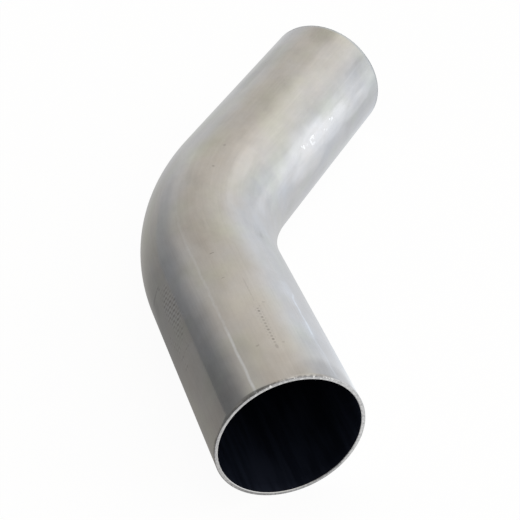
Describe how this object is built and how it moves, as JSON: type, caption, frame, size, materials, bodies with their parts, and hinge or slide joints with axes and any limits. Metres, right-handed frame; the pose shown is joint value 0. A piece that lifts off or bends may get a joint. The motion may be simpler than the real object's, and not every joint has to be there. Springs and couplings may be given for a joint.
{
  "type": "mandrel bend tube",
  "caption": "Round thin-walled steel tube with a smooth bend between two straight legs, open at both sawn ends, for joining pipes or hoses at an angle.",
  "frame": {"origin": "centre of the inlet end, in the plane of its sawn face", "axes": "+Y runs into the tube along the inlet leg, +X is the side the tube bends to, +Z is square to the bend's plane"},
  "size_m": [0.158, 0.2684, 0.0634],
  "materials": {
    "stainless": "mill finish, satin, with faint marks of drawing and clamping"
  },
  "bodies": {
    "root": {"bent_tube": "stainless"}
  },
  "joints": []
}
